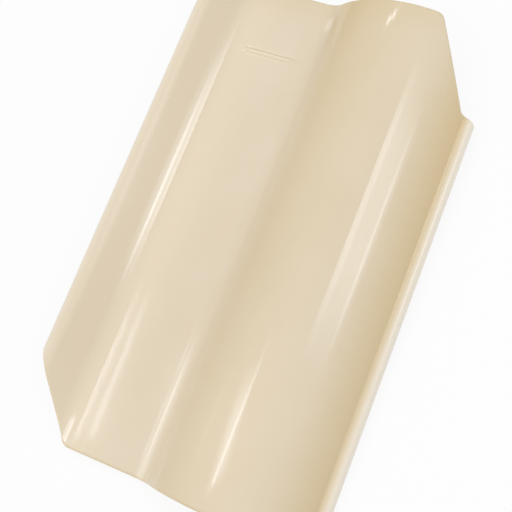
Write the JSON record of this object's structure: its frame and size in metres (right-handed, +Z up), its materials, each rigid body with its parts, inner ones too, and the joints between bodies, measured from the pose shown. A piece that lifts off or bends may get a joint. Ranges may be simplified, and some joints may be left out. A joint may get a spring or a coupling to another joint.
{
  "type": "clay roof tile",
  "caption": "Glazed interlocking clay roof tile: flat pan, round barrel, raised left rim, side lip, cut corners and a hanging nib underneath.",
  "frame": {"origin": "centre of the tile's bounding box, on the floor that it lies on", "axes": "+Y from the foot to the head of the tile, +X from the raised rim towards the barrel, +Z up"},
  "size_m": [0.2598, 0.4308, 0.0524],
  "materials": {
    "glaze": "glossy cream glaze over fired clay"
  },
  "bodies": {
    "root": {"roof_tile": "glaze"}
  },
  "joints": []
}
